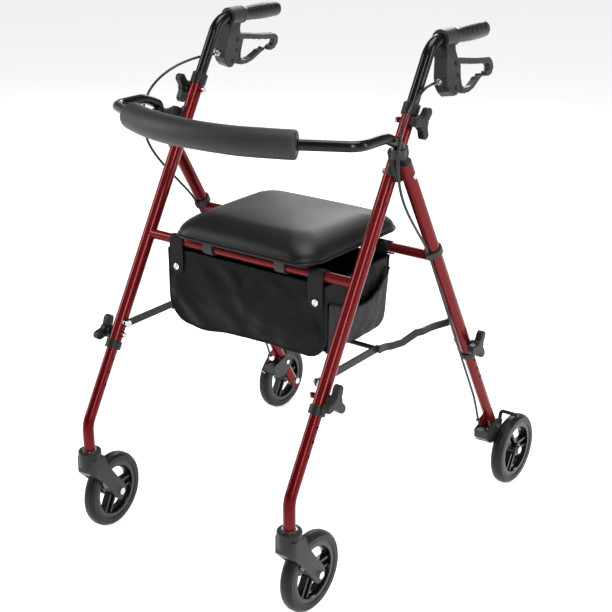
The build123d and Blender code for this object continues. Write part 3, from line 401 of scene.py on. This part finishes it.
for side, sign in SIDES.items():
    line = smooth_line(f"cable_line_{side}", [(sign * x, y, z) for x, y, z in CABLE_ROUTE])
    spans = {
        "top": (1.0, FRAME_PART_Z, f"handle_{side}", "frame"),
        "middle": (FRAME_PART_Z, CLIP_Z, "frame", "rear_frame"),
        "lower": (CLIP_Z, 0.0, "rear_frame", f"rear_leg_{side}"),
    }
    for part, (high, low, first, second) in spans.items():
        stretch = part_of_line(line, high, low)
        mesh = tube_mesh(f"brake_cable_{part}_{side}", stretch, CABLE_RADIUS, sides=12)
        piece = new_object(f"brake_cable_{part}_{side}", mesh, "cable")
        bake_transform(piece)
        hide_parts(f"brake_cable_{side}")


# ---------------------------------------------------------------- seat
def rounded_outline(half_x, half_y, corner, middle_y, count):
    """Points round a rectangle with round corners, evenly spaced by angle in each corner."""
    points = []
    per_corner = count // 8
    per_side = count // 8
    for quarter in range(4):
        sx, sy = ((1, 1), (-1, 1), (-1, -1), (1, -1))[quarter]
        for step in range(per_corner):
            angle = math.pi / 2 * (quarter + step / per_corner)
            points.append((
                sx * (half_x - corner) + corner * math.cos(angle),
                middle_y + sy * (half_y - corner) + corner * math.sin(angle),
            ))
        nx, ny = ((-1, 1), (-1, -1), (1, -1), (1, 1))[quarter]
        ends = [
            (sx * (half_x - corner), middle_y + sy * half_y),
            (nx * (half_x - corner), middle_y + ny * half_y),
        ]
        if quarter % 2:
            ends = [
                (sx * half_x, middle_y + sy * (half_y - corner)),
                (nx * half_x, middle_y + ny * (half_y - corner)),
            ]
        for step in range(per_side):
            share = step / per_side
            points.append(tuple(a + (b - a) * share for a, b in zip(*ends)))
    return points


seat_low, seat_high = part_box("seat_pad")
SEAT_HALF_X = (seat_high.x - seat_low.x) / 2
SEAT_EDGE_Z = seat_low.z + 0.0067     # where the pad's sides begin to draw in
SEAT_TOP_Z = seat_high.z
SEAT_CORNER = 0.046
CROWN_RUN = 0.068
REAR_CROWN_RUN = 0.092


def seat_ring(inset, z, rear_inset=None, count=128):
    """The seat's outline at height z, drawn in from its edges."""
    corner = max(SEAT_CORNER - inset / 3, 0.012)
    front = seat_low.y + inset
    rear = seat_high.y - (inset if rear_inset is None else rear_inset)
    flat = rounded_outline(
        SEAT_HALF_X - inset, (rear - front) / 2, corner, (rear + front) / 2, count)
    return [Vector((x, y, z)) for x, y in flat]


def make_seat():
    rings = [seat_ring(0.10, seat_low.z + 0.0004), seat_ring(0.012, seat_low.z + 0.0004)]
    rings.append(seat_ring(0.003, seat_low.z + 0.0012))
    rings.append(seat_ring(0.0012, seat_low.z + 0.0035))
    for step in range(15):
        angle = math.radians(6 * step)
        height = SEAT_EDGE_Z + (SEAT_TOP_Z - 0.003 - SEAT_EDGE_Z) * math.sin(angle)
        drawn_in = 1 - math.cos(angle)
        rings.append(seat_ring(CROWN_RUN * drawn_in, height, REAR_CROWN_RUN * drawn_in))
    for share in (0.75, 0.5, 0.25, 0.08):
        top = rings[18]
        centre = Vector((0, sum(p.y for p in top) / len(top), SEAT_TOP_Z))
        ring = []
        for p in top:
            flat = centre + (p - centre) * share
            ring.append(Vector((flat.x, flat.y, SEAT_TOP_Z - 0.003 * share ** 2)))
        rings.append(ring)
    mesh = grid_mesh("seat_cover", rings, closed_rows=True)
    shape = bmesh.new()
    shape.from_mesh(mesh)
    open_edges = [edge for edge in shape.edges if edge.is_boundary]
    bmesh.ops.holes_fill(shape, edges=open_edges, sides=0)
    bmesh.ops.recalc_face_normals(shape, faces=shape.faces)
    shape.to_mesh(mesh)
    shape.free()
    return new_object("seat_cover", mesh, "vinyl")


PUFF_PRESSURE = 4.0
PUFF_LIMIT = 0.003          # no point of the cover moves further
SMOOTHING_ROUNDS = 60


def smoothed(mesh, shifts, held, rounds):
    """Movements averaged with their neighbours', so that a stiff cover keeps no small creases."""
    beside = [[] for _ in shifts]
    for edge in mesh.edges:
        first, second = edge.vertices
        beside[first].append(second)
        beside[second].append(first)
    for _ in range(rounds):
        shifts = [
            Vector((0, 0, 0)) if i in held
            else sum((shifts[j] for j in near), shifts[i].copy()) / (len(near) + 1)
            for i, near in enumerate(beside)
        ]
    return shifts


def inflate(piece, low_z, pressure, cap, frames=20):
    """Puffs a soft piece with the cloth solver: what lies under low_z is held, and no point
    moves further than cap."""
    rest = [v.co.copy() for v in piece.data.vertices]
    held = piece.vertex_groups.new(name="held")
    fixed = {i for i, p in enumerate(rest) if p.z < low_z}
    held.add(list(fixed), 1.0, "ADD")
    cloth = piece.modifiers.new("puff", "CLOTH")
    cloth.settings.use_pressure = True
    cloth.settings.uniform_pressure_force = pressure
    cloth.settings.vertex_group_mass = "held"
    cloth.settings.effector_weights.gravity = 0.0
    cloth.settings.quality = 6
    scene = bpy.context.scene
    for step in range(1, frames + 1):
        scene.frame_set(step)
    shown = piece.evaluated_get(bpy.context.evaluated_depsgraph_get())
    moved = [v.co.copy() for v in shown.data.vertices]
    piece.modifiers.remove(cloth)
    piece.vertex_groups.remove(held)
    scene.frame_set(1)
    shifts = [end - start for start, end in zip(rest, moved)]
    shifts = smoothed(piece.data, shifts, fixed, SMOOTHING_ROUNDS)
    for vertex, start, shift in zip(piece.data.vertices, rest, shifts):
        if shift.length > cap:
            shift = shift.normalized() * cap
        vertex.co = start + shift
    piece.data.update()


seat = make_seat()
inflate(seat, SEAT_EDGE_Z, PUFF_PRESSURE, PUFF_LIMIT)
seat_finer = seat.modifiers.new("finer", "SUBSURF")
seat_finer.levels = seat_finer.render_levels = 1
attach(seat, "seat")
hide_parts("seat_pad")

PIPING_RADIUS = 0.0022
PIPING_HEIGHT = 0.0035      # of the seam over the board
PIPING_OUT = 0.0008         # how far it stands past the pad
seam = [p + Vector((0, 0, PIPING_HEIGHT)) for p in seat_ring(-PIPING_OUT, seat_low.z)]
piping_mesh = tube_mesh("seat_piping", seam, PIPING_RADIUS, closed=True)
seat_piping = new_object("seat_piping", piping_mesh, "vinyl", "seat")

# ---------------------------------------------------------------- backrest pad
pad_low, pad_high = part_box("backrest_pad")
PAD_RADIUS = (pad_high.z - pad_low.z) / 2
PAD_Z = (pad_high.z + pad_low.z) / 2
PAD_FRONT_Y = pad_low.y + PAD_RADIUS
PAD_ARC = 0.400
PAD_HALF = 0.186
BAR_RADIUS = 0.0095


def make_backrest():
    """A foam sleeve on the bar's arc, with flat ends and round rims."""
    half_angle = math.asin(PAD_HALF / PAD_ARC)
    rim = 0.006
    profile = [(0.0, BAR_RADIUS + 0.0004), (0.0, PAD_RADIUS - rim - 0.003)]
    for step in range(7):
        angle = math.pi / 2 * step / 6
        profile.append((rim * (1 - math.cos(angle)), PAD_RADIUS - rim + rim * math.sin(angle)))
    length = 2 * half_angle * PAD_ARC
    body = [(rim + (length - 2 * rim) * i / 60, PAD_RADIUS) for i in range(1, 60)]
    far_end = [(length - along, radius) for along, radius in reversed(profile)]
    rings = []
    for along, radius in profile + body + far_end:
        angle = -half_angle + along / PAD_ARC
        depth = PAD_FRONT_Y + PAD_ARC * (1 - math.cos(angle))
        centre = Vector((PAD_ARC * math.sin(angle), depth, PAD_Z))
        outward = Vector((math.sin(angle), -math.cos(angle), 0))
        ring = []
        for step in range(48):
            turn = 2 * math.pi * step / 48
            direction = math.cos(turn) * outward + math.sin(turn) * Vector((0, 0, 1))
            soft = wrinkle(centre + direction * 0.03, 9.0, 0.0008) if radius > 0.02 else 0.0
            ring.append(centre + direction * (radius + soft - 0.0006 * (radius > 0.02)))
        rings.append(ring)
    mesh = grid_mesh("backrest_foam", rings, closed_rows=True)
    tidy_normals(mesh)
    return new_object("backrest_foam", mesh, "foam", "backrest")


backrest = make_backrest()
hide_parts("backrest_pad")

# ---------------------------------------------------------------- bag
bag_low, bag_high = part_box("basket_bag")
BAG_HALF = bag_high.x
BAG_FRONT_Y = bag_low.y
BAG_REAR_Y = bag_high.y
BAG_TOP_Z = bag_high.z
PANEL_FOOT_Z = bag_low.z
BAG_FLOOR_Z = PANEL_FOOT_Z + 0.014
PANEL_CORNER = 0.045
CLOTH = 0.0012
STRAP_X = 0.165
STRAP_FOOT_Z = 0.517


def bag_sheet(name, rows, finish="nylon", thickness=CLOTH):
    piece = new_object(name, grid_mesh(name, rows), finish, "frame")
    thicken(piece, thickness)
    return piece


def panel_foot(x):
    """Height of the front panel's lower edge, which droops and has round corners."""
    droop = 0.009 * math.exp(-((x + 0.11) / 0.06) ** 2)
    low = PANEL_FOOT_Z + 0.004 - droop
    over = abs(x) - (BAG_HALF - PANEL_CORNER)
    if over > 0:
        low += PANEL_CORNER - math.sqrt(max(PANEL_CORNER ** 2 - over ** 2, 0.0))
    return low


def panel_y(x, z):
    """Depth of the front panel: it hangs from its straps, bellied and creased."""
    share = (BAG_TOP_Z - z) / (BAG_TOP_Z - PANEL_FOOT_Z)
    belly = -0.006 * math.sin(math.pi * min(share, 1.0)) * (1 - (x / BAG_HALF) ** 2)
    from_strap = abs(abs(x) - STRAP_X) + 0.9 * (z - STRAP_FOOT_Z)
    folds = 0.0012 * math.sin(70 * from_strap + 4 * noise.noise(Vector((x * 8, 0, z * 8))))
    fade = min(1.0, 6 * share, (BAG_HALF - abs(x)) / 0.02 + 0.1)
    crease = wrinkle((x * 0.7 + z, 0.3, z - x * 0.25), 9.0, 0.0035)
    return BAG_FRONT_Y + 0.001 + belly + (folds + crease) * fade


def make_front_panel():
    rows = []
    for i in range(121):
        x = BAG_HALF * (-1 + 2 * i / 120)
        foot = panel_foot(x)
        row = []
        for j in range(49):
            z = foot + (BAG_TOP_Z - foot) * j / 48
            row.append((x, panel_y(x, z), z))
        rows.append(row)
    return bag_sheet("bag_front_panel", rows)


def side_foot(share):
    """Height of a side panel's lower edge from its front, share 0, to its rear, share 1."""
    rise = max(share - 0.86, 0.0) / 0.14
    return BAG_FLOOR_Z + 0.004 + 0.026 * (1 - math.sqrt(max(1 - rise ** 2, 0.0)))


def side_point(sign, share, height, out=0.0):
    """A point of a side panel: share runs to the rear, height from the foot to the top."""
    low = side_foot(share)
    top = BAG_TOP_Z + 0.004 * share
    z = low + (top - low) * height
    rear = BAG_REAR_Y - 0.012 * (1 - height)
    y = BAG_FRONT_Y + 0.002 + (rear - BAG_FRONT_Y - 0.002) * share
    bulge = 0.008 * math.sin(math.pi * share) * math.sin(math.pi * min(height * 0.9 + 0.1, 1))
    crease = wrinkle((sign * 0.4, y * 1.4, z), 22.0, 0.003) * math.sin(math.pi * share)
    return (sign * (BAG_HALF - 0.0015 + bulge + crease + out), y, z)


def make_side_panel(sign, name):
    rows = [[side_point(sign, i / 40, j / 30) for j in range(31)] for i in range(41)]
    return bag_sheet(name, rows)


HEM_RADIUS = 0.0024


def pocket_top(share):
    """Share of the side's height that the net pocket's slack hem reaches."""
    return 0.86 - 0.36 * math.sin(math.pi * (0.08 + 0.84 * share)) ** 0.8 + 0.08 * share


def make_pocket(sign, name):
    rows = []
    for i in range(41):
        share = 0.015 + 0.97 * i / 40
        top = pocket_top(share)
        gap = 0.004 + 0.007 * math.sin(math.pi * share)
        rows.append([side_point(sign, share, 0.01 + (top - 0.01) * j / 24,
                                out=gap * (0.25 + 0.75 * j / 24)) for j in range(25)])
    pocket = bag_sheet(name, rows, finish="net", thickness=0.0008)
    hem = tube_mesh(name + "_hem", [row[-1] for row in rows], HEM_RADIUS, sides=8)
    hem_piece = new_object(name + "_hem", hem, "webbing", "frame")
    return pocket


def make_rear_panel():
    rows = []
    for i in range(81):
        x = BAG_HALF * (-1 + 2 * i / 80)
        row = []
        for j in range(31):
            height = j / 30
            _, y, z = side_point(1.0, 1.0, height)
            crease = wrinkle((x, 1.7, z * 1.5), 15.0, 0.0035) * (1 - (x / BAG_HALF) ** 8)
            row.append((x, y - 0.002 + crease, z))
        rows.append(row)
    return bag_sheet("bag_rear_panel", rows)


def make_floor():
    rows = []
    front = BAG_FRONT_Y + 0.003
    rear = BAG_REAR_Y - 0.012
    for i in range(61):
        x = (BAG_HALF - 0.002) * (-1 + 2 * i / 60)
        row = []
        for j in range(33):
            share = j / 32
            y = front + (rear - front) * share
            z = side_foot(share) + 0.0015 + wrinkle((x, y, 2.0), 18.0, 0.002)
            row.append((x, y, max(z, BAG_FLOOR_Z + 0.0008)))
        rows.append(row)
    return bag_sheet("bag_floor", rows)


front_panel = make_front_panel()
make_rear_panel()
make_floor()
for side, sign in SIDES.items():
    make_side_panel(sign, f"bag_side_{side}")
    make_pocket(sign, f"bag_pocket_{side}")
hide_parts("basket_bag")

BINDING_RADIUS = 0.0019

# Bound edges: round the front panel, and down the rear and along the foot of each side.
edge_line = [(-BAG_HALF, panel_y(-BAG_HALF, z / 1000), z / 1000) for z in range(564, 464, -4)]
edge_line += [
    (x / 1000, panel_y(x / 1000, panel_foot(x / 1000)), panel_foot(x / 1000))
    for x in range(-186, 187, 3)
]
edge_line += [(BAG_HALF, panel_y(BAG_HALF, z / 1000), z / 1000) for z in range(464, 565, 4)]
bindings = {"bag_binding_front": edge_line}
for side, sign in SIDES.items():
    foot_line = [side_point(sign, i / 40, 0.0) for i in range(41)]
    back_line = [side_point(sign, 1.0, i / 20) for i in range(1, 21)]
    bindings[f"bag_binding_{side}"] = foot_line + back_line
for name, points in bindings.items():
    mesh = tube_mesh(name, points, BINDING_RADIUS, sides=8)
    binding = new_object(name, mesh, "webbing", "frame")

# ---------------------------------------------------------------- straps
STRAP_HALF = 0.0165
CROSSBAR_Z = 0.580
WRAP_RADIUS = 0.0112
WRAP_TAIL = 0.018           # the strap's short end behind the bar
REAR_STRAP_FOOT_Z = 0.535


def make_strap(name, sign, bar_y, foot_z):
    """A webbing band over a crossbar: up behind it, over, and down to a pointed end."""
    path = []
    for step in range(7):
        path.append((bar_y + WRAP_RADIUS, CROSSBAR_Z - WRAP_TAIL + WRAP_TAIL * step / 7))
    for step in range(19):
        angle = math.pi * step / 18
        across = WRAP_RADIUS * math.cos(angle)
        path.append((bar_y + across, CROSSBAR_Z + WRAP_RADIUS * math.sin(angle)))
    for step in range(1, 21):
        path.append((bar_y - WRAP_RADIUS, CROSSBAR_Z - (CROSSBAR_Z - foot_z) * step / 20))
    rows = []
    for y, z in path:
        narrow = max(0.0, 1 - (z - foot_z) / 0.010) if y < bar_y else 0.0
        half = STRAP_HALF * (1 - 0.75 * narrow ** 1.5)
        row = []
        for i in range(13):
            x = sign * STRAP_X + half * (-1 + i / 6)
            row.append((x, y + wrinkle((x, y, z), 30.0, 0.0004), z))
        rows.append(row)
    piece = new_object(name, grid_mesh(name, rows), "webbing", "frame")
    thicken(piece, 0.0017)
    return piece


front_bar_low, front_bar_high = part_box("front_crossbar")
rear_bar_low, rear_bar_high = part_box("rear_crossbar")
FRONT_BAR_Y = (front_bar_low.y + front_bar_high.y) / 2
REAR_BAR_Y = (rear_bar_low.y + rear_bar_high.y) / 2
for side, sign in SIDES.items():
    strap = make_strap(f"strap_front_{side}", sign, FRONT_BAR_Y, STRAP_FOOT_Z)
    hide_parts("bag_straps")
    make_strap(f"strap_rear_{side}", sign, REAR_BAR_Y, REAR_STRAP_FOOT_Z)

# ---------------------------------------------------------------- press studs
def lathe_mesh(name, profile, place, axis, count=32):
    """A turned piece: profile is (distance along axis, radius) pairs from place."""
    axis = Vector(axis).normalized()
    across = axis.orthogonal().normalized()
    other = axis.cross(across)
    rings = []
    for along, radius in profile:
        ring = []
        for step in range(count):
            turn = 2 * math.pi * step / count
            ring.append(Vector(place) + axis * along
                        + radius * (math.cos(turn) * across + math.sin(turn) * other))
        rings.append(ring)
    mesh = grid_mesh(name, rings, closed_rows=True)
    tidy_normals(mesh)
    return mesh


STUD_PROFILE = [
    (0.0, 0.0), (0.0, 0.0066), (0.0014, 0.0068), (0.0024, 0.0062), (0.0027, 0.0052),
    (0.0022, 0.0042), (0.0018, 0.0036), (0.0024, 0.0028), (0.0029, 0.0014), (0.0030, 0.0),
]
snap_low, snap_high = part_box("bag_snaps")
for side, sign in SIDES.items():
    centre = (sign * STRAP_X, snap_high.y, (snap_low.z + snap_high.z) / 2)
    stud_mesh = lathe_mesh(f"snap_{side}", STUD_PROFILE, centre, (0, -1, 0))
    stud = new_object(f"snap_{side}", stud_mesh, "steel", "frame")
    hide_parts("bag_snaps")

# ---------------------------------------------------------------- grips
GRIP_STATIONS = [
    (0.0, 0.0112), (0.0, 0.0160), (0.0015, 0.0172), (0.0045, 0.0172), (0.0060, 0.0160),
    (0.0080, 0.0138), (0.016, 0.0134), (0.030, 0.0142), (0.048, 0.0152), (0.066, 0.0158),
    (0.084, 0.0160), (0.100, 0.0158), (0.112, 0.0154), (0.1170, 0.0146), (0.1192, 0.0125),
    (0.1200, 0.0090), (0.1200, 0.0),
]
DIMPLES = [0.034, 0.050, 0.066, 0.082, 0.098]


def make_grip(side):
    """A moulded grip: a collar, a swelling body with finger dimples, a round end."""
    low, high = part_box(f"grip_{side}")
    centre_x = (low.x + high.x) / 2
    centre_z = (low.z + high.z) / 2
    stations = []
    for (a, ra), (b, rb) in zip(GRIP_STATIONS, GRIP_STATIONS[1:]):
        pieces = max(1, round((b - a) / 0.002))
        stations += [(a + (b - a) * i / pieces, ra + (rb - ra) * i / pieces) for i in range(pieces)]
    stations.append(GRIP_STATIONS[-1])
    rings = []
    for along, radius in stations:
        ring = []
        for step in range(48):
            turn = 2 * math.pi * step / 48
            dent = 0.0
            if 0.02 < along < 0.112:
                for dimple in DIMPLES:
                    for middle in (0.15 * math.pi, 0.85 * math.pi, 1.5 * math.pi):
                        gap = math.remainder(turn - middle, 2 * math.pi) * radius
                        dent += 0.0013 * math.exp(-((along - dimple) ** 2 + gap ** 2) / 0.0035 ** 2)
            flat = 1 - 0.06 * math.cos(turn) ** 2 * (radius > 0.012)
            ring.append((
                centre_x + (radius * flat - dent) * math.cos(turn),
                low.y + along,
                centre_z + (radius * flat - dent) * math.sin(turn),
            ))
        rings.append(ring)
    mesh = grid_mesh(f"grip_cover_{side}", rings, closed_rows=True)
    tidy_normals(mesh)
    piece = new_object(f"grip_cover_{side}", mesh, "grip_rubber", f"handle_{side}")
    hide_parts(f"grip_{side}")


for side in SIDES:
    make_grip(side)

# ---------------------------------------------------------------- brake wires
# The bare end of the inner wire, past the brake.
WIRE_ROUTE = [
    (0.286, 0.221, 0.125), (0.287, 0.206, 0.137), (0.286, 0.192, 0.139),
    (0.284, 0.176, 0.148), (0.282, 0.161, 0.157),
]
WIRE_RADIUS = 0.0009
for side, sign in SIDES.items():
    line = smooth_line(f"wire_line_{side}", [(sign * x, y, z) for x, y, z in WIRE_ROUTE])
    mesh = tube_mesh(f"brake_wire_{side}", line, WIRE_RADIUS, sides=8)
    brake_wire = new_object(f"brake_wire_{side}", mesh, "steel", f"rear_leg_{side}")

# ---------------------------------------------------------------- floor and light
FLOOR_SIZE = 60.0


def make_floor_plane():
    mesh = bpy.data.meshes.new("floor")
    half = FLOOR_SIZE / 2
    corners = [(-half, -half, 0), (half, -half, 0), (half, half, 0), (-half, half, 0)]
    mesh.from_pydata(corners, [], [(0, 1, 2, 3)])
    floor = bpy.data.objects.new("floor", mesh)
    pale = bpy.data.materials.new("pale_floor")
    pale.use_nodes = True
    shader = pale.node_tree.nodes["Principled BSDF"]
    shader.inputs["Base Color"].default_value = (0.93, 0.93, 0.93, 1)
    shader.inputs["Roughness"].default_value = 0.9
    shader.inputs["Specular IOR Level"].default_value = 0.1
    shader.inputs["Emission Color"].default_value = (1, 1, 1, 1)
    shader.inputs["Emission Strength"].default_value = 0.62
    mesh.materials.append(pale)
    bpy.context.scene.collection.objects.link(floor)
    floor.location.z = cad_low.z


def make_light(name, place, target, size, power):
    data = bpy.data.lights.new(name, "AREA")
    data.shape = "RECTANGLE"
    data.size, data.size_y = size
    data.energy = power
    light = bpy.data.objects.new(name, data)
    light.location = place
    aim = Vector(target) - Vector(place)
    light.rotation_mode = "QUATERNION"
    light.rotation_quaternion = aim.to_track_quat("-Z", "Y")
    bpy.context.scene.collection.objects.link(light)


make_floor_plane()
MIDDLE = (0.0, 0.0, 0.5)
make_light("key_light", (2.4, -2.2, 2.0), MIDDLE, (0.5, 2.6), 60.0)
make_light("fill_light", (-2.6, -1.6, 1.8), MIDDLE, (0.6, 2.4), 50.0)
make_light("top_light", (0.2, 0.2, 3.0), MIDDLE, (1.6, 1.2), 45.0)
make_light("side_light", (3.0, 0.8, 1.6), MIDDLE, (0.4, 2.4), 35.0)
make_light("back_light", (-1.2, 2.8, 2.2), MIDDLE, (1.6, 1.0), 40.0)


def make_world():
    """White along the horizon, behind the floor's edge, and dim overhead."""
    world = bpy.data.worlds.new("studio")
    world.use_nodes = True
    tree = world.node_tree
    way = tree.nodes.new("ShaderNodeTexCoord").outputs["Generated"]
    parts = linked(tree, "ShaderNodeSeparateXYZ", {"Vector": way})
    height = linked(tree, "ShaderNodeMapRange", {
        "Value": parts.outputs["Z"], "From Min": 0.06, "From Max": 0.3, "To Min": 1.0,
        "To Max": 0.22})
    background = tree.nodes["Background"]
    background.inputs["Color"].default_value = (1, 1, 1, 1)
    tree.links.new(height.outputs[0], background.inputs["Strength"])
    bpy.context.scene.world = world


make_world()
bpy.context.scene.view_settings.view_transform = "Standard"
